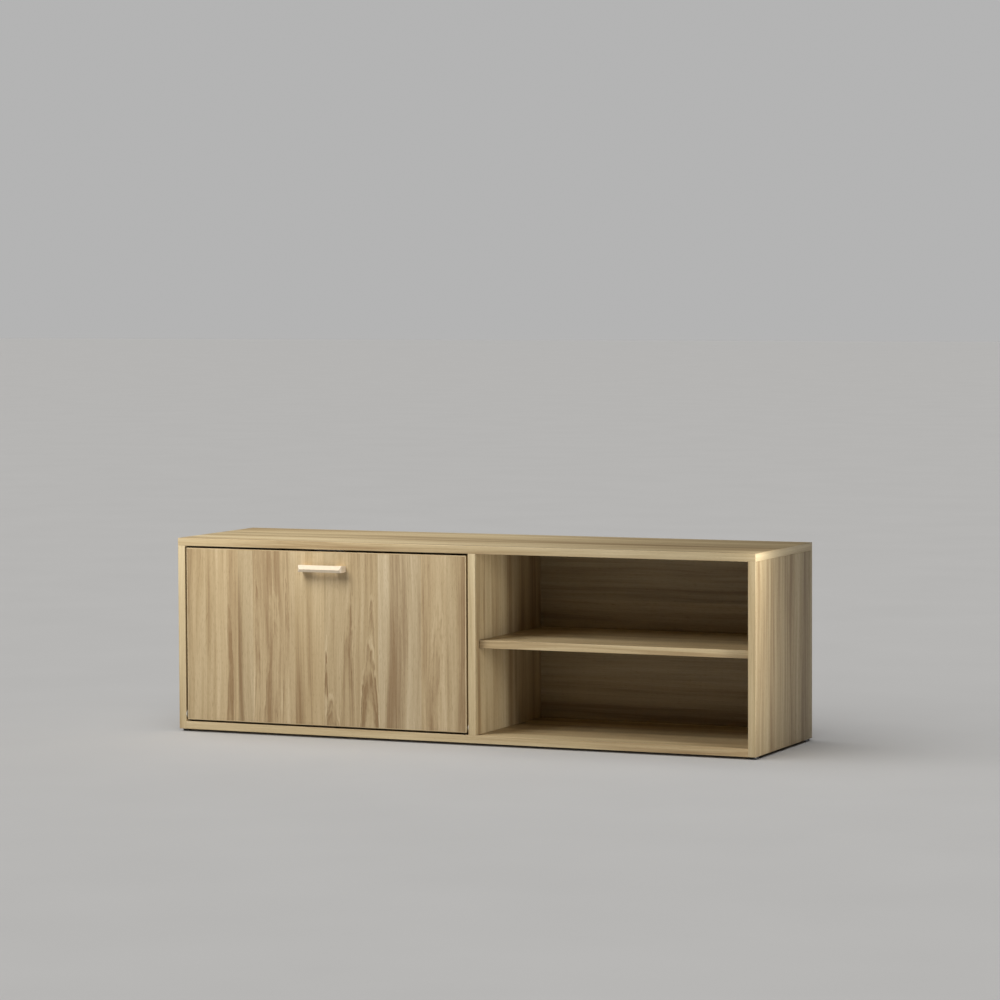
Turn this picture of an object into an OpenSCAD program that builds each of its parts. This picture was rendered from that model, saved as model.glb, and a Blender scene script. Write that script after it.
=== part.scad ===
// Low television cabinet with one drop-down flap and two open compartments.
// +Z is up, the front faces -Y, and +X runs to the right seen from the front.
// The origin is on the floor, in the middle of the cabinet's overall box.

/* [Cabinet] */
// Overall width
body_w = 1200; // [1100:10:1600]
// Depth from the front edges to the outside of the back panel
body_d = 320; // [300:5:420]
// Height of the carcass above its glides
body_h = 375; // [350:5:450]
// Thickness of the boards
board_t = 15; // [15:1:18]
// Thickness of the back panel
back_t = 3; // [3:1:5]

/* [Compartments] */
// Clear width of the bay behind the flap
bay_w = 607; // [450:1:650]
// Distance of the shelf's front edge behind the front
shelf_setback = 17; // [10:1:30]

/* [Flap] */
// Gap all round the flap
flap_gap = 4; // [4:0.5:5]
// Height of the hinge line above the flap's lower edge
pivot_rise = 10; // [9:0.5:12]
// Angle at which the flap is drawn, 0 is shut
flap_open = 0; // [0:5:90]

/* [Flap stays] */
// Distance of the stay's two pivots from the hinge line
stay_r = 150; // [140:5:160]
// Angle between the two pivots at the hinge line when the flap is shut
stay_span = 10; // [9:1:14]
// Height of the bracket's pivot above the flap's inner face
pivot_stand = 12; // [11:0.5:14]

/* [Handle] */
// Distance between the two screws
handle_centres = 64; // [64, 96, 128]
// Distance of the handle's middle below the flap's top edge
handle_drop = 32; // [30:1:60]
// How far the handle stands out from the flap
handle_reach = 22; // [20:0.5:24]

/* [Glides] */
// Height of the plastic glides
glide_h = 5; // [4:1:8]
// Diameter of the glides
glide_d = 17; // [16:1:20]

/* [Hidden] */

$fn = 64;
cut = 1;

// Colours
oak = [0.79, 0.69, 0.53];
oak_edge = [0.82, 0.73, 0.57];
oak_print = [0.70, 0.60, 0.45];
beech = [0.80, 0.66, 0.46];
zinc = [0.72, 0.72, 0.71];
steel = [0.62, 0.63, 0.64];
nickel = [0.88, 0.82, 0.73];
black = [0.08, 0.08, 0.08];
white = [0.90, 0.89, 0.86];
ferrite = [0.20, 0.19, 0.19];

// Carcass planes
half_w = body_w / 2;
front_y = handle_reach - (handle_reach + body_d) / 2;
back_y = front_y + body_d;
board_back_y = back_y - back_t;
board_d = body_d - back_t;
top_z = glide_h + body_h;
top_under_z = top_z - board_t;
floor_z = glide_h + board_t;
inner_x = half_w - board_t;
side_mid_x = half_w - board_t / 2;
clear_h = top_under_z - floor_z;

// Partition and shelf
partition_x = bay_w - inner_x;
partition_mid_x = partition_x + board_t / 2;
partition_right_x = partition_x + board_t;
shelf_end_gap = 1;
shelf_back_gap = 1;
shelf_w = inner_x - partition_right_x - 2 * shelf_end_gap;
shelf_z = floor_z + (clear_h - board_t) / 2;

// Flap
flap_w = bay_w - 2 * flap_gap;
flap_h = clear_h - 2 * flap_gap;
flap_x = flap_gap - inner_x;
flap_mid_x = flap_x + flap_w / 2;
flap_z = floor_z + flap_gap;
flap_top_z = flap_z + flap_h;
flap_inner_y = front_y + board_t;
pivot_y = front_y + board_t / 2;
pivot_z = flap_z + pivot_rise;

// Cam fittings and dowels: where they sit along each joint, and their sizes
cam_inset = 50;
dowel_inset = 82;
cam_ys = [front_y + cam_inset, board_back_y - cam_inset];
dowel_ys = [front_y + dowel_inset, board_back_y - dowel_inset];
cam_d = 15;
cam_depth = 12.5;
cam_reach = 24;
cam_recess = 0.2;
cam_play = 0.1;
cam_slot_d = 7.8;
cam_socket_d = 4.2;
cam_socket_l = 2.7;
bolt_hole_d = 8;
bolt_thread_d = 6;
bolt_grip = 11;
bolt_collar_d = 7.6;
bolt_collar_l = 1.5;
bolt_neck_d = 5;
bolt_head_d = 7.2;
bolt_head_l = 3;
cap_d = 17.5;
cap_t = 1;
cap_stub_l = 2;
dowel_d = 8;
dowel_l = 30;
dowel_grip = 11;
dowel_chamfer = 1;

// Shelf pins
shelf_pin_d = 5;
shelf_pin_grip = 8;
shelf_pin_l = 8;
shelf_pin_collar_d = 7;
shelf_pin_collar_t = 0.8;
shelf_pin_ys = [front_y + 75, board_back_y - 75];

// Nails of the back panel
nail_d = 1.6;
nail_l = 18;
nail_head_d = 3.6;
nail_head_l = 1;
nail_pitch = 120;
nail_end = 60;
back_inset = 2;

// Glides
glide_nail_d = 2;
glide_nail_l = 14;
glide_nail_head_d = 6.2;
glide_nail_head_l = 1.2;
glide_well_d = 6.4;
glide_well_l = 2;
glide_lip = 1.5;
glide_side = 9;
glide_inset = 16;

// Hinge bushes and pins
pin_d = 6;
pin_play = 0.06;
pin_in_flap = 22;
pin_in_bush = 7;
pin_chamfer = 0.6;
bush_d = 10;
bush_l = 9;
bush_wall = 1;
bush_flange_d = 14;
bush_flange_t = 1;

// Flap stays: every reach is measured from the wall that the stay runs beside
arm_x = 5;
arm_t = 2;
arm_w = 16;
arm_end = 12;
stud_d = 5;
stud_thread_d = 4;
stud_grip = 10;
stud_spacer_d = 9;
stud_head_d = 10;
stud_head_t = 2;
arm_side_play = 0.4;
slot_play = 0.35;
slot_run_on = 1;
tab_t = 2;
tab_x = arm_x + arm_t + 0.6;
tab_r = 7;
bracket_w = 24;
bracket_h = 30;
bracket_t = 2;
bracket_screw_x = tab_x + 15;
bracket_screw_z = 9;
rivet_d = 5;
rivet_head_d = 9;
rivet_head_t = 1.2;
rivet_play = 0.05;

flap_pivot_angle = asin((board_t / 2 + pivot_stand) / stay_r);
wall_pivot_angle = flap_pivot_angle + stay_span;
flap_pivot_y = pivot_y + stay_r * sin(flap_pivot_angle);
flap_pivot_z = pivot_z + stay_r * cos(flap_pivot_angle);
wall_pivot_y = pivot_y + stay_r * sin(wall_pivot_angle);
wall_pivot_z = pivot_z + stay_r * cos(wall_pivot_angle);
arm_slope = (flap_pivot_angle + wall_pivot_angle) / 2;
shut_dist = 2 * stay_r * sin(stay_span / 2);
open_dist = 2 * stay_r * sin((stay_span + 90) / 2);
slot_from = shut_dist - slot_run_on;
slot_to = open_dist + slot_run_on;
arm_l = slot_to + arm_end;

// Wood screws, used for the brackets, the catch and its strike plate
screw_d = 3.5;
screw_head_d = 6.6;
screw_head_l = 2.2;
screw_tip_l = 2;
bracket_screw_l = 12;
catch_screw_l = 14;
strike_screw_l = 12;
strike_head_l = 1.8;

// Magnetic catch
strike_w = 40;
strike_h = 13;
strike_t = 1.2;
strike_drop = 1;
catch_gap = 0.4;
catch_w = 32;
catch_depth = 16;
catch_h = 14;
catch_ear_w = 58;
catch_ear_t = 3;
catch_ear_depth = 12;
catch_screw_x = 23;
pole_proud = 0.5;
pole_w = 25;
pole_t = 1.5;
magnet_t = 4;
magnet_l = 9.5;
pocket_play = 0.3;
pole_y = flap_inner_y + strike_t + catch_gap;
catch_y = pole_y + pole_proud;
magnet_mid_z = top_under_z - catch_h / 2 - 0.5;

// Handle: a bow with a ridge along its front
handle_end = 15;
handle_l = handle_centres + 2 * handle_end;
handle_h = 13;
handle_foot_h = 11;
handle_bar_t = 8;
handle_ridge_z = -1.2;
handle_top_back = 3.2;
handle_bottom_back = 2.4;
handle_corner_r = 6;
handle_hollow_r = 4;
handle_leg_w = 20;
handle_screw_d = 4;
handle_hole_d = 4.5;
handle_screw_grip = 11;
handle_screw_head_d = 8;
handle_screw_head_l = 2.6;
handle_z = flap_top_z - handle_drop;

// ---------------------------------------------------------------- placing helpers

// A board from its lowest corner
module board(corner, size) {
    translate(corner) cube(size);
}

// A solid turned about X, which starts at x = 0 and runs to +X. Points are [distance along X, radius]
module turned_x(points) {
    rotate([0, 90, 0])
        rotate_extrude()
            polygon([for (p = points) [p[1], p[0]]]);
}

// Butt joints. +Z points into the board that is joined on, +X towards the face with the cams
module left_top_joint() {
    translate([-side_mid_x, 0, top_under_z]) children();
}

module right_top_joint() {
    translate([side_mid_x, 0, top_under_z]) mirror([1, 0, 0]) children();
}

module partition_top_joint() {
    translate([partition_mid_x, 0, top_under_z]) mirror([1, 0, 0]) children();
}

module partition_bottom_joint() {
    translate([partition_mid_x, 0, floor_z]) rotate([0, 180, 0]) children();
}

module left_bottom_joint() {
    translate([-inner_x, 0, floor_z - board_t / 2]) rotate([0, -90, 0]) mirror([1, 0, 0]) children();
}

module right_bottom_joint() {
    translate([inner_x, 0, floor_z - board_t / 2]) rotate([0, 90, 0]) children();
}

module hidden_cam_joints() {
    left_bottom_joint() children();
    right_bottom_joint() children();
}

module capped_cam_joints() {
    left_top_joint() children();
    right_top_joint() children();
    partition_top_joint() children();
    partition_bottom_joint() children();
}

module along(ys) {
    for (y = ys) translate([0, y, 0]) children();
}

// The two walls of the flap's bay. x = 0 is the wall's face and +X points into the bay
module left_wall() {
    translate([-inner_x, 0, 0]) children();
}

module right_wall() {
    translate([partition_x, 0, 0]) mirror([1, 0, 0]) children();
}

module both_walls() {
    left_wall() children();
    right_wall() children();
}

// Turns what belongs to the flap about its hinge line
module flap_pose() {
    translate([0, pivot_y, pivot_z])
        rotate([flap_open, 0, 0])
            translate([0, -pivot_y, -pivot_z])
                children();
}

// ---------------------------------------------------------------- fasteners and their holes

module cam_lock() {
    difference() {
        translate([board_t / 2 - cam_depth, 0, -cam_reach])
            rotate([0, 90, 0])
                cylinder(d = cam_d - 2 * cam_play, h = cam_depth - cam_recess);
        translate([0, 0, -cam_reach - cam_slot_d / 4])
            cylinder(d = cam_slot_d, h = cam_d);
        translate([board_t / 2 - cam_recess - cam_socket_l, 0, -cam_reach])
            rotate([0, 90, 0])
                cylinder(d = cam_socket_d, h = cam_socket_l + cut);
    }
}

module cam_bolt() {
    head_z = -cam_reach - bolt_head_l / 2;
    rotate_extrude()
        polygon([
            [0, head_z], [bolt_head_d / 2, head_z], [bolt_head_d / 2, head_z + bolt_head_l],
            [bolt_neck_d / 2, head_z + bolt_head_l], [bolt_neck_d / 2, -bolt_collar_l],
            [bolt_collar_d / 2, -bolt_collar_l], [bolt_collar_d / 2, 0],
            [bolt_thread_d / 2, 0], [bolt_thread_d / 2, bolt_grip], [0, bolt_grip]
        ]);
}

module cam_cap() {
    translate([board_t / 2, 0, -cam_reach])
        turned_x([
            [-cap_stub_l, 0], [-cap_stub_l, cam_socket_d / 2 - cam_play], [0, cam_socket_d / 2 - cam_play],
            [0, cap_d / 2], [cap_t / 2, cap_d / 2], [cap_t, cap_d / 2 - cap_t / 2], [cap_t, 0]
        ]);
}

module cam_holes() {
    translate([board_t / 2 - cam_depth, 0, -cam_reach])
        rotate([0, 90, 0])
            cylinder(d = cam_d, h = cam_depth + cut);
    translate([0, 0, -cam_reach])
        cylinder(d = bolt_hole_d, h = cam_reach);
    cylinder(d = bolt_thread_d, h = bolt_grip);
}

module dowel() {
    translate([0, 0, dowel_grip - dowel_l])
        rotate_extrude()
            polygon([
                [0, 0], [dowel_d / 2 - dowel_chamfer, 0], [dowel_d / 2, dowel_chamfer],
                [dowel_d / 2, dowel_l - dowel_chamfer], [dowel_d / 2 - dowel_chamfer, dowel_l], [0, dowel_l]
            ]);
}

module dowel_hole() {
    translate([0, 0, dowel_grip - dowel_l]) cylinder(d = dowel_d, h = dowel_l);
}

module joint_holes() {
    along(cam_ys) cam_holes();
    along(dowel_ys) dowel_hole();
}

// A pan-head wood screw along +Z, its head below z = 0
module pan_screw(length) {
    rotate_extrude()
        polygon([
            [0, -screw_head_l], [screw_head_d / 4, -screw_head_l], [screw_head_d / 2, -screw_head_l / 2],
            [screw_head_d / 2, 0], [screw_d / 2, 0], [screw_d / 2, length - screw_tip_l], [0, length]
        ]);
}

// A countersunk wood screw along +Z, its head flush with z = 0
module flat_screw(length) {
    rotate_extrude()
        polygon([
            [0, 0], [screw_head_d / 2, 0], [screw_d / 2, strike_head_l],
            [screw_d / 2, length - screw_tip_l], [0, length]
        ]);
}

// ---------------------------------------------------------------- boards

module top_panel() {
    color(oak)
        difference() {
            board([-half_w, front_y, top_under_z], [body_w, board_d, board_t]);
            left_top_joint() joint_holes();
            right_top_joint() joint_holes();
            partition_top_joint() joint_holes();
            catch_screws_at() pan_screw(catch_screw_l);
            back_nails_along_top() nail();
        }
}

module bottom_panel() {
    color(oak)
        difference() {
            board([-inner_x, front_y, glide_h], [2 * inner_x, board_d, board_t]);
            left_bottom_joint() joint_holes();
            right_bottom_joint() joint_holes();
            partition_bottom_joint() joint_holes();
            back_nails_along_bottom() nail();
        }
}

module side_left() {
    color(oak_edge)
        difference() {
            board([-half_w, front_y, glide_h], [board_t, board_d, body_h - board_t]);
            left_top_joint() joint_holes();
            left_bottom_joint() joint_holes();
            left_wall() bush_hole();
            left_wall() stud_hole();
            glides_at() glide_nail();
            back_nails_up(-side_mid_x) nail();
        }
}

module side_right() {
    color(oak_edge)
        difference() {
            board([inner_x, front_y, glide_h], [board_t, board_d, body_h - board_t]);
            right_top_joint() joint_holes();
            right_bottom_joint() joint_holes();
            shelf_pins_right() shelf_pin_hole();
            glides_at() glide_nail();
            back_nails_up(side_mid_x) nail();
        }
}

module partition() {
    color(oak)
        difference() {
            board([partition_x, front_y, floor_z], [board_t, board_d, clear_h]);
            partition_top_joint() joint_holes();
            partition_bottom_joint() joint_holes();
            right_wall() bush_hole();
            right_wall() stud_hole();
            shelf_pins_left() shelf_pin_hole();
            back_nails_up(partition_mid_x) nail();
        }
}

module shelf() {
    color(oak)
        board([partition_right_x + shelf_end_gap, front_y + shelf_setback, shelf_z],
              [shelf_w, board_d - shelf_setback - shelf_back_gap, board_t]);
}

module back_panel() {
    color(oak_print)
        difference() {
            board([back_inset - half_w, board_back_y, glide_h + back_inset],
                  [body_w - 2 * back_inset, back_t, body_h - 2 * back_inset]);
            all_back_nails() nail();
        }
}

// ---------------------------------------------------------------- fasteners of the carcass

module cam_locks() {
    color(zinc) {
        hidden_cam_joints() along(cam_ys) cam_lock();
        capped_cam_joints() along(cam_ys) cam_lock();
    }
}

module cam_bolts() {
    color(steel) {
        hidden_cam_joints() along(cam_ys) cam_bolt();
        capped_cam_joints() along(cam_ys) cam_bolt();
    }
}

module cam_caps() {
    color(oak) capped_cam_joints() along(cam_ys) cam_cap();
}

module dowels() {
    color(beech) {
        hidden_cam_joints() along(dowel_ys) dowel();
        capped_cam_joints() along(dowel_ys) dowel();
    }
}

module shelf_pin() {
    turned_x([
        [-shelf_pin_grip, 0], [-shelf_pin_grip, shelf_pin_d / 2], [0, shelf_pin_d / 2],
        [0, shelf_pin_collar_d / 2], [shelf_pin_collar_t, shelf_pin_collar_d / 2],
        [shelf_pin_collar_t, shelf_pin_d / 2], [shelf_pin_l, shelf_pin_d / 2], [shelf_pin_l, 0]
    ]);
}

module shelf_pin_hole() {
    translate([-shelf_pin_grip, 0, 0])
        rotate([0, 90, 0])
            cylinder(d = shelf_pin_d, h = shelf_pin_grip + cut);
}

module shelf_pins_left() {
    translate([partition_right_x, 0, shelf_z - shelf_pin_d / 2])
        along(shelf_pin_ys) children();
}

module shelf_pins_right() {
    translate([inner_x, 0, shelf_z - shelf_pin_d / 2])
        mirror([1, 0, 0])
            along(shelf_pin_ys) children();
}

module shelf_pins() {
    color(steel) {
        shelf_pins_left() shelf_pin();
        shelf_pins_right() shelf_pin();
    }
}

// A panel pin along +Y whose head is flush with the back
module nail() {
    rotate([90, 0, 0])
        rotate_extrude()
            polygon([
                [0, 0], [nail_head_d / 2, 0], [nail_head_d / 2, nail_head_l],
                [nail_d / 2, nail_head_l], [nail_d / 2, nail_l - nail_d], [0, nail_l]
            ]);
}

module back_nails_level(z) {
    steps = floor((half_w - nail_end) / nail_pitch);
    for (i = [-steps : steps]) translate([i * nail_pitch, back_y, z]) children();
}

module back_nails_along_top() {
    back_nails_level(top_z - board_t / 2) children();
}

module back_nails_along_bottom() {
    back_nails_level(glide_h + board_t / 2) children();
}

module back_nails_up(x) {
    for (share = [0.25, 0.5, 0.75]) translate([x, back_y, floor_z + share * clear_h]) children();
}

module all_back_nails() {
    back_nails_along_top() children();
    back_nails_along_bottom() children();
    for (x = [-side_mid_x, partition_mid_x, side_mid_x]) back_nails_up(x) children();
}

module back_nails() {
    color(steel) all_back_nails() nail();
}

// ---------------------------------------------------------------- glides

module glides_at() {
    for (x = [glide_side - half_w, half_w - glide_side])
        for (y = [front_y + glide_inset, board_back_y - glide_inset])
            translate([x, y, 0]) children();
}

module glide_pad() {
    rotate_extrude()
        polygon([
            [glide_well_d / 2, 0], [glide_d / 2 - glide_lip, 0], [glide_d / 2, glide_lip],
            [glide_d / 2, glide_h], [glide_nail_d / 2, glide_h],
            [glide_nail_d / 2, glide_well_l], [glide_well_d / 2, glide_well_l]
        ]);
}

module glide_nail() {
    rotate_extrude()
        polygon([
            [0, glide_well_l - glide_nail_head_l], [glide_nail_head_d / 2, glide_well_l - glide_nail_head_l],
            [glide_nail_head_d / 2, glide_well_l], [glide_nail_d / 2, glide_well_l],
            [glide_nail_d / 2, glide_h + glide_nail_l - glide_nail_d], [0, glide_h + glide_nail_l]
        ]);
}

module glide_pads() {
    color(black) glides_at() glide_pad();
}

module glide_nails() {
    color(steel) glides_at() glide_nail();
}

// ---------------------------------------------------------------- hinge

module at_hinge_line() {
    translate([0, pivot_y, pivot_z]) children();
}

module bush_hole() {
    at_hinge_line()
        translate([-bush_l, 0, 0])
            rotate([0, 90, 0])
                cylinder(d = bush_d, h = bush_l + cut);
}

module hinge_bush() {
    bore_r = pin_d / 2 + pin_play;
    turned_x([
        [-bush_l, 0], [-bush_l, bush_d / 2], [0, bush_d / 2], [0, bush_flange_d / 2],
        [bush_flange_t, bush_flange_d / 2], [bush_flange_t, bore_r],
        [bush_wall - bush_l, bore_r], [bush_wall - bush_l, 0]
    ]);
}

module hinge_bushes() {
    color(white) both_walls() at_hinge_line() hinge_bush();
}

module pivot_pin() {
    tip = -pin_in_bush;
    end = flap_gap + pin_in_flap;
    turned_x([
        [tip, 0], [tip, pin_d / 2 - pin_chamfer], [tip + pin_chamfer, pin_d / 2],
        [end - pin_chamfer, pin_d / 2], [end, pin_d / 2 - pin_chamfer], [end, 0]
    ]);
}

module pivot_pins() {
    color(steel) flap_pose() both_walls() at_hinge_line() pivot_pin();
}

// ---------------------------------------------------------------- flap stays

module at_wall_pivot() {
    translate([0, wall_pivot_y, wall_pivot_z]) children();
}

module at_flap_pivot() {
    translate([0, flap_pivot_y, flap_pivot_z]) children();
}

module stud_hole() {
    at_wall_pivot()
        translate([-stud_grip, 0, 0])
            rotate([0, 90, 0])
                cylinder(d = stud_thread_d, h = stud_grip + cut);
}

module stay_stud() {
    spacer = arm_x - arm_side_play;
    head = arm_x + arm_t + arm_side_play;
    turned_x([
        [-stud_grip, 0], [-stud_grip, stud_thread_d / 2], [0, stud_thread_d / 2], [0, stud_spacer_d / 2],
        [spacer, stud_spacer_d / 2], [spacer, stud_d / 2], [head, stud_d / 2], [head, stud_head_d / 2],
        [head + stud_head_t / 2, stud_head_d / 2], [head + stud_head_t, stud_head_d / 2 - stud_head_t / 2],
        [head + stud_head_t, 0]
    ]);
}

module stay_studs() {
    color(steel) both_walls() at_wall_pivot() stay_stud();
}

// A flat bar along +Y with round ends, lying against the plane x = 0
module round_bar(from, to, width, thick) {
    translate([0, from, -width / 2]) cube([thick, to - from, width]);
    for (y = [from, to])
        translate([0, y, 0])
            rotate([0, 90, 0])
                cylinder(d = width, h = thick);
}

module stay_arm() {
    at_flap_pivot()
        rotate([-arm_slope - flap_open / 2, 0, 0])
            translate([arm_x, 0, 0])
                difference() {
                    round_bar(0, arm_l - arm_w / 2, arm_w, arm_t);
                    translate([-cut, 0, 0])
                        rotate([0, 90, 0])
                            cylinder(d = rivet_d + 2 * rivet_play, h = arm_t + 2 * cut);
                    translate([-cut, 0, 0])
                        round_bar(slot_from, slot_to, stud_d + 2 * slot_play, arm_t + 2 * cut);
                }
}

module stay_arm_left() {
    color(zinc) flap_pose() left_wall() stay_arm();
}

module stay_arm_right() {
    color(zinc) flap_pose() right_wall() stay_arm();
}

module bracket_screws_at() {
    for (dz = [-bracket_screw_z, bracket_screw_z])
        translate([bracket_screw_x, flap_inner_y + bracket_t, flap_pivot_z + dz])
            rotate([90, 0, 0])
                children();
}

module stay_bracket() {
    difference() {
        union() {
            translate([tab_x, flap_inner_y, flap_pivot_z - bracket_h / 2])
                cube([bracket_w, bracket_t, bracket_h]);
            translate([tab_x, flap_inner_y, flap_pivot_z - tab_r])
                cube([tab_t, flap_pivot_y - flap_inner_y, 2 * tab_r]);
            translate([tab_x, flap_pivot_y, flap_pivot_z])
                rotate([0, 90, 0])
                    cylinder(r = tab_r, h = tab_t);
        }
        translate([tab_x - cut, flap_pivot_y, flap_pivot_z])
            rotate([0, 90, 0])
                cylinder(d = rivet_d, h = tab_t + 2 * cut);
        bracket_screws_at()
            translate([0, 0, -cut])
                cylinder(d = screw_d, h = bracket_t + 2 * cut);
    }
}

module stay_brackets() {
    color(zinc) flap_pose() both_walls() stay_bracket();
}

module bracket_screws() {
    color(steel) flap_pose() both_walls() bracket_screws_at() pan_screw(bracket_screw_l);
}

module stay_rivet() {
    outer = arm_x - arm_side_play;
    inner = tab_x + tab_t;
    turned_x([
        [outer - rivet_head_t, 0], [outer - rivet_head_t, rivet_head_d / 2], [outer, rivet_head_d / 2],
        [outer, rivet_d / 2], [inner, rivet_d / 2], [inner, rivet_head_d / 2],
        [inner + rivet_head_t, rivet_head_d / 2], [inner + rivet_head_t, 0]
    ]);
}

module stay_rivets() {
    color(steel) flap_pose() both_walls() at_flap_pivot() stay_rivet();
}

// ---------------------------------------------------------------- magnetic catch

module catch_screws_at() {
    for (dx = [-catch_screw_x, catch_screw_x])
        translate([flap_mid_x + dx, catch_y + catch_ear_depth / 2, top_under_z - catch_ear_t]) children();
}

module catch_case() {
    pocket_w = pole_w + 2 * pocket_play;
    pocket_h = magnet_t + 2 * pole_t + 2 * pocket_play;
    color(white)
        difference() {
            union() {
                board([flap_mid_x - catch_w / 2, catch_y, top_under_z - catch_h],
                      [catch_w, catch_depth, catch_h]);
                board([flap_mid_x - catch_ear_w / 2, catch_y, top_under_z - catch_ear_t],
                      [catch_ear_w, catch_ear_depth, catch_ear_t]);
            }
            board([flap_mid_x - pocket_w / 2, catch_y - cut, magnet_mid_z - pocket_h / 2],
                  [pocket_w, magnet_l + cut, pocket_h]);
            catch_screws_at()
                translate([0, 0, -cut])
                    cylinder(d = screw_d, h = catch_ear_t + 2 * cut);
        }
}

module catch_magnet() {
    color(ferrite)
        board([flap_mid_x - pole_w / 2, catch_y, magnet_mid_z - magnet_t / 2], [pole_w, magnet_l, magnet_t]);
}

module catch_poles() {
    color(zinc)
        for (z = [magnet_mid_z - magnet_t / 2 - pole_t, magnet_mid_z + magnet_t / 2])
            board([flap_mid_x - pole_w / 2, pole_y, z], [pole_w, magnet_l + pole_proud, pole_t]);
}

module catch_screws() {
    color(steel) catch_screws_at() pan_screw(catch_screw_l);
}

module strike_screw_at() {
    translate([flap_mid_x, flap_inner_y + strike_t, flap_top_z - strike_drop - strike_h / 2])
        rotate([90, 0, 0])
            children();
}

module strike_plate() {
    color(zinc)
        flap_pose()
            difference() {
                board([flap_mid_x - strike_w / 2, flap_inner_y, flap_top_z - strike_drop - strike_h],
                      [strike_w, strike_t, strike_h]);
                strike_screw_at() flat_screw(strike_screw_l);
            }
}

module strike_screw() {
    color(steel) flap_pose() strike_screw_at() flat_screw(strike_screw_l);
}

// ---------------------------------------------------------------- flap and handle

module handle_screws_at() {
    for (dx = [-handle_centres / 2, handle_centres / 2])
        translate([flap_mid_x + dx, flap_inner_y, handle_z])
            rotate([90, 0, 0])
                children();
}

module flap_panel() {
    color(oak)
        flap_pose()
            difference() {
                board([flap_x, front_y, flap_z], [flap_w, board_t, flap_h]);
                both_walls()
                    at_hinge_line()
                        rotate([0, 90, 0])
                            cylinder(d = pin_d, h = flap_gap + pin_in_flap);
                both_walls() bracket_screws_at() pan_screw(bracket_screw_l);
                strike_screw_at() flat_screw(strike_screw_l);
                handle_screws_at()
                    translate([0, 0, -cut])
                        cylinder(d = handle_hole_d, h = board_t + 2 * cut);
            }
}

// Outline of the bow seen from above: width, depth and corner radius
module bow_outline(width, depth, corner_r) {
    translate([-width / 2, corner_r - depth]) square([width, depth - corner_r]);
    translate([corner_r - width / 2, -depth]) square([width - 2 * corner_r, depth]);
    for (x = [corner_r - width / 2, width / 2 - corner_r])
        translate([x, corner_r - depth]) circle(r = corner_r);
}

// The bow seen from above, as deep as the handle is tall
module bow() {
    hollow_w = handle_l - 2 * handle_leg_w;
    hollow_depth = handle_reach - handle_bar_t;
    translate([0, 0, -handle_h / 2])
        linear_extrude(handle_h)
            difference() {
                bow_outline(handle_l, handle_reach, handle_corner_r);
                bow_outline(hollow_w, hollow_depth, handle_hollow_r);
                translate([-hollow_w / 2, 0]) square([hollow_w, cut]);
            }
}

// Cross-section of the bow: feet at the flap, a bar with a ridge along its front
module bow_section() {
    bar_back = handle_bar_t - handle_reach;
    translate([-handle_l / 2, 0, 0])
        rotate([90, 0, 90])
            linear_extrude(handle_l)
                polygon([
                    [0, -handle_foot_h / 2], [bar_back, -handle_h / 2],
                    [handle_bottom_back - handle_reach, -handle_h / 2], [-handle_reach, handle_ridge_z],
                    [handle_top_back - handle_reach, handle_h / 2], [bar_back, handle_h / 2],
                    [0, handle_foot_h / 2]
                ]);
}

module handle() {
    color(nickel)
        flap_pose()
            difference() {
                translate([flap_mid_x, front_y, handle_z])
                    intersection() {
                        bow();
                        bow_section();
                    }
                handle_screws_at()
                    cylinder(d = handle_screw_d, h = board_t + handle_screw_grip);
            }
}

module handle_screws() {
    screw_l = board_t + handle_screw_grip;
    color(steel)
        flap_pose()
            handle_screws_at()
                rotate_extrude()
                    polygon([
                        [0, -handle_screw_head_l], [handle_screw_head_d / 4, -handle_screw_head_l],
                        [handle_screw_head_d / 2, -handle_screw_head_l / 2], [handle_screw_head_d / 2, 0],
                        [handle_screw_d / 2, 0], [handle_screw_d / 2, screw_l], [0, screw_l]
                    ]);
}

// ---------------------------------------------------------------- the nodes

top_panel();
bottom_panel();
side_left();
side_right();
partition();
shelf();
back_panel();
cam_locks();
cam_bolts();
cam_caps();
dowels();
shelf_pins();
back_nails();
glide_pads();
glide_nails();
hinge_bushes();
stay_studs();
catch_case();
catch_magnet();
catch_poles();
catch_screws();
flap_panel();
handle();
handle_screws();
pivot_pins();
strike_plate();
strike_screw();
stay_brackets();
bracket_screws();
stay_rivets();
stay_arm_left();
stay_arm_right();
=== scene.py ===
import math

import bmesh
import bpy
from mathutils import Matrix, Vector


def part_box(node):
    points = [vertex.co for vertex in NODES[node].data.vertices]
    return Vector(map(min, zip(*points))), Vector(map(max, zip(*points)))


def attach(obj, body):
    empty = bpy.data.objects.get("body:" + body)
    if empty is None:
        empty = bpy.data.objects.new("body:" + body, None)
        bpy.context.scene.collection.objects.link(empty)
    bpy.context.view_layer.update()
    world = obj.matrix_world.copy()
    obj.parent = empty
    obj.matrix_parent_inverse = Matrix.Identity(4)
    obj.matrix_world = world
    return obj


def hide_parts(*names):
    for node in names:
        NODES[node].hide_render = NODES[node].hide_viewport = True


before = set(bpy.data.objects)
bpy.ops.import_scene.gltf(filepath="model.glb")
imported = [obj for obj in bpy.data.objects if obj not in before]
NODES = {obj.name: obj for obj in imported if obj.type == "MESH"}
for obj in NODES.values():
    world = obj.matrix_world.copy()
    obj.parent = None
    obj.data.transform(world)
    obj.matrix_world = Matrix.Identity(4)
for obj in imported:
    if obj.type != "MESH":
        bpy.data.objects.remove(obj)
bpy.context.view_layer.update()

# Low oak cabinet with a drop-down flap: refined boards, procedural finishes, camera and lights.
# Lengths are in metres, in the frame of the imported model. The front faces -Y.

MM = 0.001
X, Y, Z = range(3)
FRONT = (Y, -1)            # an end of a board, as its axis and side

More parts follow.
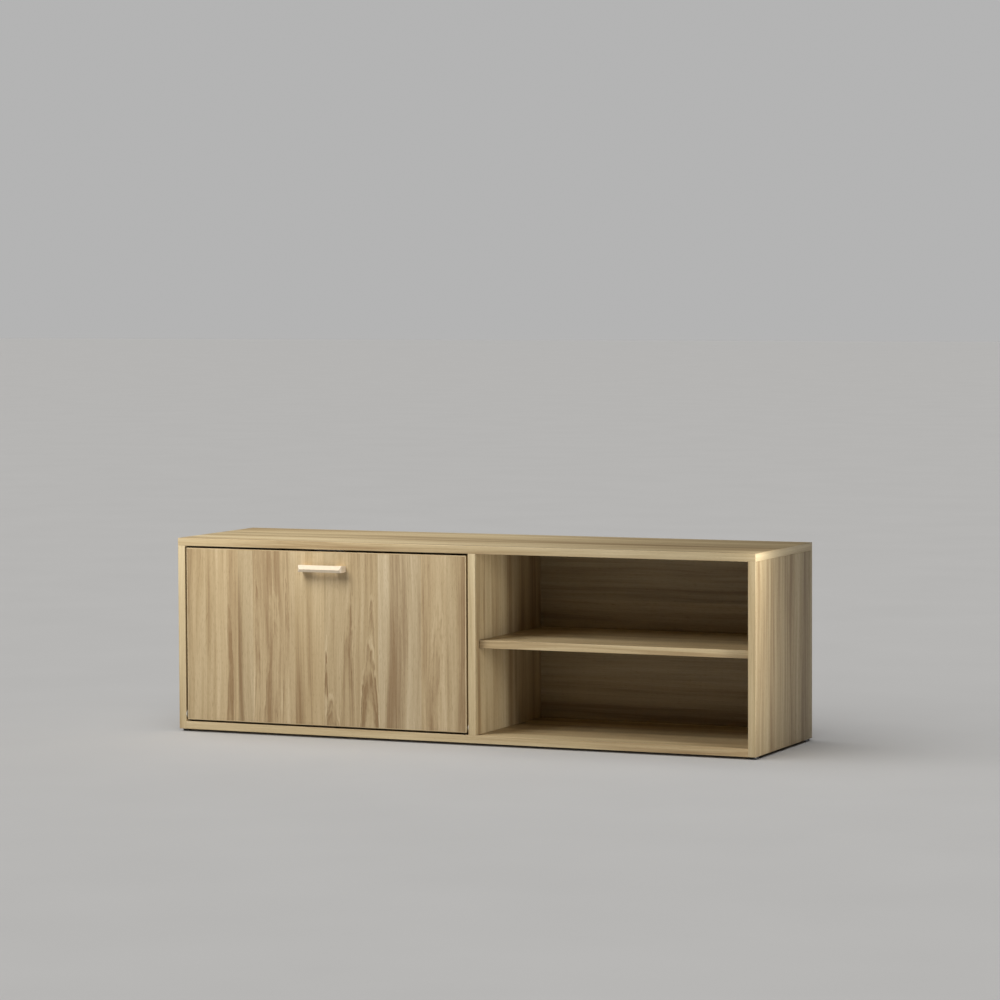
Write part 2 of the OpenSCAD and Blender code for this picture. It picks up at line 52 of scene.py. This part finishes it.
# Boards
ARRIS = 0.6 * MM           # rounding of a board's outer edges
ARRIS_STEPS = 3
BAND_T = 1.0 * MM          # edge band of the carcass boards
FLAP_BAND_T = 1.5 * MM     # edge band of the flap
TOUCH = 0.01 * MM          # how near a point lies to a plane that it is on
WELD = 0.002 * MM
FLAT_WITHIN = 0.3          # degrees between two faces that are one flat face

# Finish slots of a board's mesh
DECOR, RAW, BAND_X, BAND_Y, BAND_Z = range(5)

# Oak print: colours are linear, and the grain value runs from dark to light
OAK_DARK = (0.325, 0.215, 0.110)
OAK_MID = (0.520, 0.398, 0.232)
OAK_LIGHT = (0.650, 0.525, 0.335)
OAK_TONES = ((0.22, OAK_DARK), (0.50, OAK_MID), (0.80, OAK_LIGHT))
BROAD, MEDIUM, FINE = 1.25, 0.62, 0.34   # strength of the three sizes of streak
GRAIN_OFFSET = 0.605       # brings their sum back to the middle of the tones
WANDER = 30 * MM           # how far a streak strays sideways along a board
STAVE_W = 85 * MM
PORE_TINT = (0.60, 0.52, 0.42)
PORE_SHARE = 0.55
EMBOSS = 0.05 * MM
OAK_GLOSS = 0.41           # roughness where the print is smoothest
BAND_GLOSS = 0.33
OAK_IOR = 1.46
CARCASS_TINT = (0.992, 1.006, 0.975)   # the carcass is a little greener than the flap
BAND_GAIN_AND_HIGHLIGHT = 1.18           # an edge band is a little lighter than its board: partly its own tone, partly a painted highlight along the lit edges
BACK_GAIN_AND_SHADE = 0.82           # and the back's print a little darker: partly its own tone, partly painted shade of the deep compartments

# Studio
FLOOR_REACH = 40.0
FLOOR_PALE = 0.56
BACKDROP = 0.455
LIGHT_COLOUR = (1.0, 0.985, 0.96)
FLOOR_LIGHT = 3.14
FLOOR_LIGHT_ANGLE = 110    # degrees across, so that its shadow is soft
ROOM_COLOUR = (0.86, 0.90, 1.0)
ROOM_STRENGTH = 0.02


# ---------------------------------------------------------------- node trees

class Look:
    """A material whose node tree is written as short calls that return sockets."""

    def __init__(self, name):
        self.material = bpy.data.materials.new(name)
        self.material.use_nodes = True
        self.tree = self.material.node_tree
        self.tree.nodes.clear()

    def add(self, kind, inputs=(), **settings):
        node = self.tree.nodes.new(kind)
        for key, value in settings.items():
            setattr(node, key, value)
        for key, value in dict(inputs).items():
            self.feed(node.inputs[key], value)
        return node

    def feed(self, socket, value):
        if isinstance(value, bpy.types.NodeSocket):
            self.tree.links.new(value, socket)
        else:
            socket.default_value = value

    def math(self, operation, a, b):
        return self.add("ShaderNodeMath", {0: a, 1: b}, operation=operation).outputs[0]

    def place(self):
        """X, Y and Z of the point, in the object's own coordinates."""
        where = self.add("ShaderNodeTexCoord").outputs["Object"]
        return list(self.add("ShaderNodeSeparateXYZ", {0: where}).outputs)

    def part(self, colour, index):
        """The red, green or blue of a colour."""
        return self.add("ShaderNodeSeparateColor", {0: colour}).outputs[index]

    def point(self, x, y, z):
        return self.add("ShaderNodeCombineXYZ", {0: x, 1: y, 2: z}).outputs[0]

    def even(self, per_metre):
        """The point's place, with so many units to the metre on every axis."""
        return self.point(*[self.math("MULTIPLY", value, per_metre) for value in self.place()])

    def noise(self, where, detail=2.0, roughness=0.5, distortion=0.0):
        """Fractal noise of period about 1 at a point, as 0 to 1."""
        inputs = {"Vector": where, "Scale": 1.0, "Detail": detail,
                  "Roughness": roughness, "Distortion": distortion}
        return self.add("ShaderNodeTexNoise", inputs).outputs["Fac"]

    def cells(self, where):
        """A random colour for each of the irregular cells, about 1 across."""
        node = self.add("ShaderNodeTexVoronoi", {"Vector": where, "Scale": 1.0, "Randomness": 1.0})
        return node.outputs["Color"]

    def span(self, value, low, high, to_low=0.0, to_high=1.0):
        """value carried from one range to another, and held inside it."""
        inputs = {0: value, 1: low, 2: high, 3: to_low, 4: to_high}
        return self.add("ShaderNodeMapRange", inputs).outputs[0]

    def ramp(self, value, stops, interpolation="LINEAR"):
        """A colour from stops of (position, colour)."""
        node = self.add("ShaderNodeValToRGB", {0: value})
        ramp = node.color_ramp
        ramp.interpolation = interpolation
        while len(ramp.elements) < len(stops):
            ramp.elements.new(1.0)
        for element, (position, colour) in zip(ramp.elements, stops):
            element.position = position
            element.color = (*colour, 1.0)
        return node.outputs["Color"]

    def blend(self, mode, factor, a, b):
        """Two colours blended."""
        node = self.add("ShaderNodeMix", data_type="RGBA", blend_type=mode)
        for index, value in ((0, factor), (6, a), (7, b)):
            if isinstance(value, tuple):
                value = (*value, 1.0)
            self.feed(node.inputs[index], value)
        return node.outputs[2]

    def tint(self, colour, gain):
        """A colour times a grey number."""
        return self.blend("MULTIPLY", 1.0, colour, self.point(gain, gain, gain))

    def bump(self, height, depth, strength):
        inputs = {"Height": height, "Distance": depth, "Strength": strength}
        return self.add("ShaderNodeBump", inputs).outputs[0]

    def finish(self, **sockets):
        """Ends the tree in a Principled BSDF. Socket names have _ for a space."""
        shader = self.add("ShaderNodeBsdfPrincipled")
        for key, value in sockets.items():
            if isinstance(value, tuple):
                value = (*value, 1.0)
            self.feed(shader.inputs[key.replace("_", " ")], value)
        output = self.add("ShaderNodeOutputMaterial")
        self.tree.links.new(shader.outputs[0], output.inputs["Surface"])
        return self.material


# ---------------------------------------------------------------- oak decor

def cathedral(look, along, across, centre, apex, half_width, length):
    """How far a point is inside an arch of the grain: 0 on its outline, 1 at its foot.
    The arch opens from its apex towards lower values of along when length is positive."""
    run = look.math("DIVIDE", look.math("SUBTRACT", apex, along), length)
    side = look.math("DIVIDE", look.math("SUBTRACT", across, centre), half_width)
    return look.math("SUBTRACT", run, look.math("MULTIPLY", side, side))


def arch_tone(look, inside, strength):
    """Light outline, dark heart and a faded foot for one arch, as a shift of the grain value."""
    tone = look.ramp(inside, (
        (0.00, (0.50,) * 3), (0.06, (0.72,) * 3), (0.16, (0.64,) * 3), (0.27, (0.24,) * 3),
        (0.42, (0.42,) * 3), (0.56, (0.16,) * 3), (0.80, (0.34,) * 3), (1.00, (0.50,) * 3)))
    return look.math("MULTIPLY", look.math("SUBTRACT", tone, 0.5), strength)


def figured(look, along, across, through, figures):
    """The sum of the arches, with ragged outlines and breaks as in sawn wood."""
    def patch(per_along, per_across, offset):
        where = look.point(look.math("MULTIPLY", along, per_along),
                           look.math("MULTIPLY", across, per_across),
                           look.math("ADD", through, offset))
        return look.noise(where, 3.0, 0.6)

    ragged = look.math("MULTIPLY", look.math("SUBTRACT", patch(24.0, 110.0, 6.1), 0.5), 0.75)
    fade = look.span(patch(14.0, 60.0, 8.7), 0.38, 0.60, 0.25, 1.0)
    total = 0.0
    for *arch, strength in figures:
        inside = look.math("ADD", cathedral(look, along, across, *arch), ragged)
        total = look.math("ADD", arch_tone(look, inside, strength), total)
    return look.math("MULTIPLY", total, fade)


def oak_grain(look, along, across, through, seed, figures=()):
    """The grain value of the decor and the share of open pore at a point."""
    slow = look.noise(look.point(look.math("MULTIPLY", along, 2.2), look.math("MULTIPLY", across, 7.0),
                                 look.math("ADD", through, seed)), detail=1.0)
    bent = look.math("ADD", across, look.math("MULTIPLY", look.math("SUBTRACT", slow, 0.5), WANDER))

    def streaks(per_metre, stretch, offset, detail):
        """Noise with so many streaks to the metre, each stretched along the grain."""
        x = look.math("MULTIPLY", along, per_metre / stretch)
        y = look.math("MULTIPLY", bent, per_metre)
        return look.noise(look.point(x, y, look.math("ADD", through, seed + offset)), detail, 0.6)

    broad = streaks(26.0, 22.0, 1.7, 2.0)
    medium = streaks(120.0, 45.0, 5.1, 2.0)
    fine = streaks(620.0, 60.0, 9.3, 1.0)
    value = look.math("ADD", look.math("MULTIPLY", broad, BROAD), look.math("MULTIPLY", medium, MEDIUM))
    value = look.math("ADD", value, look.math("MULTIPLY", fine, FINE))
    value = look.math("SUBTRACT", value, GRAIN_OFFSET)
    if figures:
        layer = look.math("ADD", through, seed)
        value = look.math("ADD", value, figured(look, along, bent, layer, figures))
    dashes = look.noise(look.point(look.math("MULTIPLY", along, 90.0),
                                   look.math("MULTIPLY", bent, 1900.0),
                                   look.math("ADD", through, seed + 3.3)), detail=0.0)
    pore = look.span(dashes, 0.66, 0.74)
    return value, fine, pore


def stave_tones(look, across, seed):
    """A random tone for each stave of the decor, where nothing more is known of them."""
    where = look.math("ADD", look.math("DIVIDE", across, STAVE_W), seed)
    node = look.add("ShaderNodeTexVoronoi", {"W": where, "Scale": 1.0, "Randomness": 0.75},
                    voronoi_dimensions="1D")
    return look.part(node.outputs["Color"], 0)


def pored(look, colour, pore):
    """A colour, darker in the open pores."""
    return look.blend("MULTIPLY", look.math("MULTIPLY", pore, PORE_SHARE), colour, PORE_TINT)


def oak_relief(look, fine, pore):
    """The embossed surface: fine ridges, with the pores pressed in."""
    height = look.math("SUBTRACT", look.math("MULTIPLY", fine, 0.35), pore)
    return look.bump(height, EMBOSS, 0.6)


def oak_finish(look, value, fine, pore, tone, gain, smooth=OAK_GLOSS):
    """Colour, gloss and relief of the decor from its grain value, pores and stave tone."""
    colour = look.tint(look.ramp(value, OAK_TONES), look.math("MULTIPLY", tone, gain))
    colour = look.blend("MULTIPLY", 1.0, colour, CARCASS_TINT)
    gloss = look.math("ADD", smooth, look.math("MULTIPLY", fine, 0.10))
    gloss = look.math("ADD", gloss, look.math("MULTIPLY", pore, 0.12))
    return look.finish(Base_Color=pored(look, colour, pore), Roughness=gloss,
                       Normal=oak_relief(look, fine, pore), IOR=OAK_IOR)


def oak_decor(name, along_axis, across_axis, seed, figures=(), gain=1.0):
    """Oak-print melamine whose grain runs along one axis."""
    look = Look(name)
    xyz = look.place()
    through = look.math("MULTIPLY", xyz[3 - along_axis - across_axis], 4.0)
    tone = stave_tones(look, xyz[across_axis], seed)
    shifted = look.math("ADD", through, look.math("MULTIPLY", tone, 19.0))
    value, fine, pore = oak_grain(look, xyz[along_axis], xyz[across_axis], shifted, seed, figures)
    return oak_finish(look, value, fine, pore, look.span(tone, 0.0, 1.0, 0.90, 1.06), gain)


# Staves of the flap's print: width, lightness, warmth
FLAP_STAVES = (
    (61, 0.97, 0.03), (49, 1.05, 0.02), (33, 0.92, 0.02), (91, 1.06, 0.01), (65, 0.98, 0.03),
    (114, 0.95, 0.02), (91, 1.02, -0.01), (55, 1.06, 0.01), (40, 0.97, 0.02))

# Arches of the flap's print: centre from its left edge, apex below its top, half width, length and
# strength
FLAP_ARCHES = (
    (396, 150, 20, 160, 1.30), (399, 74, 8, 80, 0.90), (317, 262, 20, 100, 1.20),
    (303, 168, 6, 120, 2.30), (190, 60, 30, 380, 0.55), (540, 40, 20, 300, 0.50),
    (92, 14, 10, 330, 0.80), (152, 6, 8, 250, 0.85), (222, 20, 9, 210, 0.70),
    (350, 30, 16, 240, 0.55))


def flap_decor():
    """The flap's print, with its own staves and arches."""
    look = Look("oak_flap")
    lo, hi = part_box("flap_panel")
    x, y, z = look.place()
    width = hi.x - lo.x
    share = look.math("DIVIDE", look.math("SUBTRACT", x, lo.x), width)
    # A ramp holds colours up to 1, so each tone is stored at half its value and doubled below
    stops, reached = [], 0.0
    for stave_w, light, warm in FLAP_STAVES:
        half = light / 2
        stops.append((reached * MM / width, (half * (1 + warm), half, half * (1 - 2 * warm))))
        reached += stave_w
    tone = look.ramp(share, stops, "CONSTANT")
    spread = look.part(tone, 1)
    through = look.math("ADD", look.math("MULTIPLY", y, 4.0), look.math("MULTIPLY", spread, 83.0))
    figures = [(lo.x + centre * MM, hi.z - apex * MM, half * MM, length * MM, strength)
               for centre, apex, half, length, strength in FLAP_ARCHES]
    value, fine, pore = oak_grain(look, z, x, through, 2.6, figures)
    doubled = look.blend("ADD", 1.0, tone, tone)
    colour = look.blend("MULTIPLY", 1.0, look.ramp(value, OAK_TONES), doubled)
    gloss = look.math("ADD", OAK_GLOSS, look.math("MULTIPLY", fine, 0.10))
    return look.finish(Base_Color=pored(look, colour, pore), Roughness=gloss,
                       Normal=oak_relief(look, fine, pore), IOR=OAK_IOR)


def band_decor(name, along_axis, seed):
    """Plastic edge band printed like the boards: straight grain and glossier, a little lighter partly as
    its own tone and partly as a painted highlight along the lit edges.
    """
    look = Look(name)
    xyz = look.place()
    across_axis, through_axis = [axis for axis in range(3) if axis != along_axis]
    across = look.math("ADD", xyz[across_axis], xyz[through_axis])
    through = look.math("MULTIPLY", xyz[through_axis], 3.0)
    value, fine, pore = oak_grain(look, xyz[along_axis], across, through, seed)
    # the band's colour is raised, partly as its own lighter tone and partly as a painted highlight along
    # the lit edges
    return oak_finish(look, value, fine, look.math("MULTIPLY", pore, 0.5), 1.0, BAND_GAIN_AND_HIGHLIGHT, BAND_GLOSS)


def raw_chipboard():
    """The core of a board where no band covers it: pressed chips, pale to brown."""
    look = Look("raw_chipboard")
    chip = look.part(look.cells(look.even(420.0)), 0)
    dust = look.noise(look.even(1500.0), 2.0)
    value = look.math("ADD", look.math("MULTIPLY", chip, 0.7), look.math("MULTIPLY", dust, 0.3))
    colour = look.ramp(value, (
        (0.10, (0.25, 0.16, 0.085)), (0.50, (0.42, 0.30, 0.17)), (0.90, (0.58, 0.45, 0.28))))
    return look.finish(Base_Color=colour, Roughness=0.88, Normal=look.bump(value, 0.25 * MM, 0.7))


def raw_fibreboard():
    """The bare outside of the back panel: brown pressed fibre."""
    look = Look("raw_fibreboard")
    fibre = look.noise(look.even(900.0), 3.0, 0.7, 0.6)
    cloud = look.noise(look.even(9.0), 3.0)
    value = look.math("ADD", look.math("MULTIPLY", fibre, 0.7), look.math("MULTIPLY", cloud, 0.3))
    colour = look.ramp(value, ((0.30, (0.20, 0.125, 0.065)), (0.70, (0.34, 0.225, 0.125))))
    return look.finish(Base_Color=colour, Roughness=0.82, Normal=look.bump(fibre, 0.06 * MM, 0.6))


# ---------------------------------------------------------------- metals, plastics and the rest

def metal(name, colour, roughness, grain_per_metre=2500.0, wear=0.10, bare=1.0):
    """Plated or satin metal: faint cloudy tarnish over a fine texture. A lacquer over it leaves less
    of the metal bare."""
    look = Look(name)
    x, y, z = look.place()
    fine = look.noise(look.point(look.math("MULTIPLY", x, grain_per_metre / 12),
                                 look.math("MULTIPLY", y, grain_per_metre),
                                 look.math("MULTIPLY", z, grain_per_metre)), 2.0)
    cloud = look.noise(look.even(160.0), 3.0)
    base = look.tint(colour, look.span(cloud, 0.3, 0.7, 1.0 - wear, 1.0 + wear / 2))
    gloss = look.span(fine, 0.3, 0.7, roughness - 0.05, roughness + 0.07)
    return look.finish(Base_Color=base, Metallic=bare, Roughness=gloss,
                       Normal=look.bump(fine, 0.01 * MM, 0.5))


def plastic(name, colour, roughness=0.45):
    """Moulded plastic with the fine spark-eroded texture of its mould."""
    look = Look(name)
    fine = look.noise(look.even(2200.0), 2.0)
    cloud = look.noise(look.even(70.0), 2.0)
    base = look.tint(colour, look.span(cloud, 0.3, 0.7, 0.93, 1.05))
    gloss = look.span(fine, 0.3, 0.7, roughness - 0.06, roughness + 0.08)
    return look.finish(Base_Color=base, Roughness=gloss, Normal=look.bump(fine, 0.02 * MM, 0.5))


def beech():
    """Bare turned beech: small brown flecks."""
    look = Look("beech")
    fleck = look.noise(look.even(700.0), 2.0)
    colour = look.ramp(fleck, (
        (0.30, (0.47, 0.32, 0.17)), (0.60, (0.62, 0.46, 0.27)), (0.80, (0.68, 0.52, 0.33))))
    return look.finish(Base_Color=colour, Roughness=0.70, Normal=look.bump(fleck, 0.05 * MM, 0.5))


def ferrite():
    """Sintered magnet: dark grey, matt and slightly grainy."""
    look = Look("ferrite")
    grit = look.noise(look.even(1800.0), 3.0)
    colour = look.ramp(grit, ((0.30, (0.030, 0.028, 0.028)), (0.70, (0.085, 0.080, 0.078))))
    return look.finish(Base_Color=colour, Roughness=0.75, Normal=look.bump(grit, 0.03 * MM, 0.6))


# ---------------------------------------------------------------- boards

def welded(node):
    """A CAD node's solids as a bmesh, each flat face in as few pieces as can be."""
    bm = bmesh.new()
    bm.from_mesh(NODES[node].data)
    bmesh.ops.remove_doubles(bm, verts=bm.verts, dist=WELD)
    bmesh.ops.dissolve_limit(bm, angle_limit=math.radians(FLAT_WITHIN), verts=bm.verts, edges=bm.edges)
    return bm


def fine_piece(node, body, bm, materials):
    """Ends a bmesh as the piece that stands for a CAD node. The imported corner normals are dropped,
    because they no longer fit the reshaped faces."""
    mesh = bpy.data.meshes.new("fine_" + node)
    bm.to_mesh(mesh)
    bm.free()
    if mesh.has_custom_normals:
        mesh.attributes.remove(mesh.attributes["custom_normal"])
    for material in materials:
        mesh.materials.append(material)
    piece = bpy.data.objects.new("fine_" + node, mesh)
    bpy.context.scene.collection.objects.link(piece)
    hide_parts(node)
    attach(piece, body)


def along_box_edge(edge, lo, hi):
    """Whether an edge lies along one of the twelve edges of the board's box."""
    planes = 0
    for axis in range(3):
        for limit in (lo[axis], hi[axis]):
            planes += all(abs(vert.co[axis] - limit) < TOUCH for vert in edge.verts)
    return planes == 2


def band_slot(normal_axis, thin_axis):
    """The band's material: its print runs along the edge, across the board's thickness."""
    along = 3 - normal_axis - thin_axis
    return (BAND_X, BAND_Y, BAND_Z)[along]


def board(node, body, decor, bands, band_t=BAND_T):
    """A board from its CAD solid, with rounded arrises, banded edges and raw chipboard elsewhere.
    bands are (axis, side) pairs: side -1 is the low end of that axis and 1 the high end."""
    lo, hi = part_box(node)
    size = hi - lo
    thin_axis = min(range(3), key=lambda axis: size[axis])
    bm = welded(node)
    # The arrises are rounded before the bands are cut: a cut point near an arris would be overrun
    arrises = [edge for edge in bm.edges if along_box_edge(edge, lo, hi)]
    bmesh.ops.bevel(bm, geom=arrises, offset=ARRIS, offset_type="OFFSET", segments=ARRIS_STEPS,
                    profile=0.5, affect="EDGES", clamp_overlap=False)
    cuts = []
    for axis, side in bands:
        where = lo[axis] + band_t if side < 0 else hi[axis] - band_t
        normal = Vector([float(axis == i) for i in range(3)])
        bmesh.ops.bisect_plane(bm, geom=bm.verts[:] + bm.edges[:] + bm.faces[:], dist=WELD,
                               plane_co=normal * where, plane_no=normal)
        cuts.append((axis, side, where))
    bm.normal_update()
    for face in bm.faces:
        middle = face.calc_center_median()
        face.smooth = False
        face.material_index = RAW
        if min(middle[thin_axis] - lo[thin_axis], hi[thin_axis] - middle[thin_axis]) < ARRIS:
            face.material_index = DECOR
        for axis, side, where in cuts:
            if (middle[axis] - where) * side > 0:
                face.material_index = band_slot(axis, thin_axis)
    fine_piece(node, body, bm, (decor, *SHARED))


SHARED = (raw_chipboard(), band_decor("band_x", X, 4.2), band_decor("band_y", Y, 6.8),
          band_decor("band_z", Z, 8.9))


def carcass_boards():
    board("top_panel", "carcass", oak_decor("oak_top", X, Y, 1.3), (FRONT, (X, -1), (X, 1)))
    board("bottom_panel", "carcass", oak_decor("oak_bottom", X, Y, 3.9), (FRONT,))
    board("shelf", "carcass", oak_decor("oak_shelf", X, Y, 7.4), (FRONT,))
    board("side_left", "carcass", oak_decor("oak_side_left", Z, Y, 5.2), (FRONT,))
    board("side_right", "carcass", oak_decor("oak_side_right", Z, Y, 9.6), (FRONT,))
    board("partition", "carcass", oak_decor("oak_partition", Z, Y, 12.1), (FRONT,))


def flap_board():
    board("flap_panel", "flap", flap_decor(), ((X, -1), (X, 1), (Z, -1), (Z, 1)), FLAP_BAND_T)


def back_panel():
    """Thin fibreboard, printed on the inside and bare on the outside."""
    node = "back_panel"
    inner_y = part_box(node)[0].y
    bm = welded(node)
    for face in bm.faces:
        face.smooth = False
        face.material_index = int(face.calc_center_median().y > inner_y + TOUCH)
    # the back's print is darkened, partly as its own tone and partly as painted shade of the deep
    # compartments
    inside = oak_decor("oak_back_print_and_shade", X, Z, 14.8, gain=BACK_GAIN_AND_SHADE)
    fine_piece(node, "carcass", bm, (inside, raw_fibreboard()))


# ---------------------------------------------------------------- fittings

def fittings():
    """The small parts keep their CAD shape and get their own finishes."""
    zinc = metal("zinc", (0.56, 0.56, 0.55), 0.42)
    steel = metal("steel", (0.55, 0.55, 0.54), 0.30)
    satin = metal("handle_satin", (0.74, 0.63, 0.48), 0.66, 3000.0, 0.05, 0.25)
    oak_plastic = plastic("oak_plastic", (0.52, 0.40, 0.235), 0.5)
    black = plastic("black_plastic", (0.022, 0.022, 0.022), 0.5)
    white = plastic("white_plastic", (0.76, 0.75, 0.71), 0.42)
    finishes = (
        (zinc, ("cam_locks", "catch_poles", "strike_plate", "stay_brackets", "stay_arm_left",
                "stay_arm_right")),
        (steel, ("cam_bolts", "shelf_pins", "back_nails", "glide_nails", "stay_studs", "catch_screws",
                 "handle_screws", "pivot_pins", "strike_screw", "bracket_screws", "stay_rivets")),
        (satin, ("handle",)),
        (oak_plastic, ("cam_caps",)),
        (black, ("glide_pads",)),
        (white, ("hinge_bushes", "catch_case")),
        (beech(), ("dowels",)),
        (ferrite(), ("catch_magnet",)))
    for material, names in finishes:
        for name in names:
            NODES[name].material_slots[0].material = material


# ---------------------------------------------------------------- floor, lights and camera

def floor():
    """A plain pale floor under the glides."""
    mesh = bpy.data.meshes.new("floor")
    quarters = ((-1, -1), (1, -1), (1, 1), (-1, 1))
    corners = [(x * FLOOR_REACH, y * FLOOR_REACH, 0.0) for x, y in quarters]
    mesh.from_pydata(corners, [], [(0, 1, 2, 3)])
    plane = bpy.data.objects.new("floor", mesh)
    bpy.context.scene.collection.objects.link(plane)
    look = Look("floor_pale")
    x, y, z = look.place()
    cloud = look.noise(look.point(look.math("MULTIPLY", x, 3.0), look.math("MULTIPLY", y, 3.0), z), 3.0)
    colour = look.ramp(cloud, ((0.3, (FLOOR_PALE,) * 3), (0.7, (FLOOR_PALE * 1.03,) * 3)))
    mesh.materials.append(look.finish(Base_Color=colour, Roughness=0.9))


def lamp(name, data, place, target, pieces, lit):
    """Puts a light at a place, turned to a target. It lights only the pieces named, or all but them."""
    data.color = LIGHT_COLOUR
    item = bpy.data.objects.new(name, data)
    item.location = place
    item.rotation_euler = (Vector(place) - Vector(target)).to_track_quat("Z", "Y").to_euler()
    item.visible_camera = False
    bpy.context.scene.collection.objects.link(item)
    group = bpy.data.collections.new(name + "_group")
    for piece in pieces:
        group.objects.link(bpy.data.objects[piece])
    for member in group.collection_objects:
        member.light_linking.link_state = "INCLUDE" if lit else "EXCLUDE"
    item.light_linking.receiver_collection = group


def softbox(name, place, target, width, height, power, dark=("floor",)):
    """A soft rectangular light of so many watts. It is kept off the floor, which has its own even
    light, and off any other piece in dark."""
    data = bpy.data.lights.new(name, "AREA")
    data.shape = "RECTANGLE"
    data.size, data.size_y = width, height
    data.energy = power
    lamp(name, data, place, target, dark, False)


def floor_light():
    """A wide soft sun for the floor alone, from the front left. The cabinet still shades it."""
    data = bpy.data.lights.new("floor_light", "SUN")
    data.angle = math.radians(FLOOR_LIGHT_ANGLE)
    data.energy = FLOOR_LIGHT
    lamp("floor_light", data, (-0.33, -0.47, 0.82), (0.0, 0.0, 0.0), ("floor",), True)


def surroundings():
    """A dim room, with a backdrop as pale as the far floor."""
    world = bpy.data.worlds.new("studio")
    world.use_nodes = True
    tree = world.node_tree
    room = tree.nodes["Background"]
    room.inputs[0].default_value = (*ROOM_COLOUR, 1.0)
    room.inputs[1].default_value = ROOM_STRENGTH
    backdrop = tree.nodes.new("ShaderNodeBackground")
    backdrop.inputs[0].default_value = (BACKDROP,) * 3 + (1.0,)
    seen = tree.nodes.new("ShaderNodeLightPath")
    mix = tree.nodes.new("ShaderNodeMixShader")
    tree.links.new(seen.outputs["Is Camera Ray"], mix.inputs[0])
    tree.links.new(room.outputs[0], mix.inputs[1])
    tree.links.new(backdrop.outputs[0], mix.inputs[2])
    tree.links.new(mix.outputs[0], tree.nodes["World Output"].inputs[0])
    bpy.context.scene.world = world
    bpy.context.scene.view_settings.view_transform = "Standard"


def studio():
    """Softboxes front left, overhead and far right, a strip close to the right side, and one behind."""
    floor()
    floor_light()
    softbox("front_left", (-0.70, -1.00, 1.30), (-0.35, -0.15, 0.25), 0.80, 0.80, 20.4)
    softbox("overhead", (-0.40, -0.10, 1.40), (-0.30, 0.00, 0.20), 1.00, 1.00, 8.7)
    softbox("far_right", (2.30, -0.65, 0.30), (0.20, -0.15, 0.20), 0.30, 0.80, 23.8,
            ("floor", "fine_side_right", "fine_top_panel"))
    softbox("right_strip", (0.70, -0.17, 0.25), (0.60, -0.12, 0.22), 0.08, 0.60, 0.57)
    softbox("behind", (0.00, 3.00, 0.60), (0.00, 0.17, 0.20), 1.50, 1.50, 14.0,
            ("floor", "fine_top_panel"))
    surroundings()


def camera():
    """A long lens to the right of the cabinet, slightly above it."""
    place = Vector((2.929, -6.596, 0.893))
    yaw, pitch, roll = (math.radians(a) for a in (23.77, 3.45, -0.25))
    ahead = Vector((-math.sin(yaw) * math.cos(pitch), math.cos(yaw) * math.cos(pitch), -math.sin(pitch)))
    level = Vector((math.cos(yaw), math.sin(yaw), 0.0))
    above = level.cross(ahead)
    right = level * math.cos(roll) + above * math.sin(roll)
    up = above * math.cos(roll) - level * math.sin(roll)
    data = bpy.data.cameras.new("camera")
    data.sensor_width = 36.0
    data.lens = 134.96
    data.clip_end = 200.0
    view = bpy.data.objects.new("camera", data)
    axes = Matrix((right, up, -ahead)).transposed().to_4x4()
    view.matrix_world = Matrix.Translation(place) @ axes
    bpy.context.scene.collection.objects.link(view)
    bpy.context.scene.camera = view


camera()
carcass_boards()
flap_board()
back_panel()
fittings()
studio()
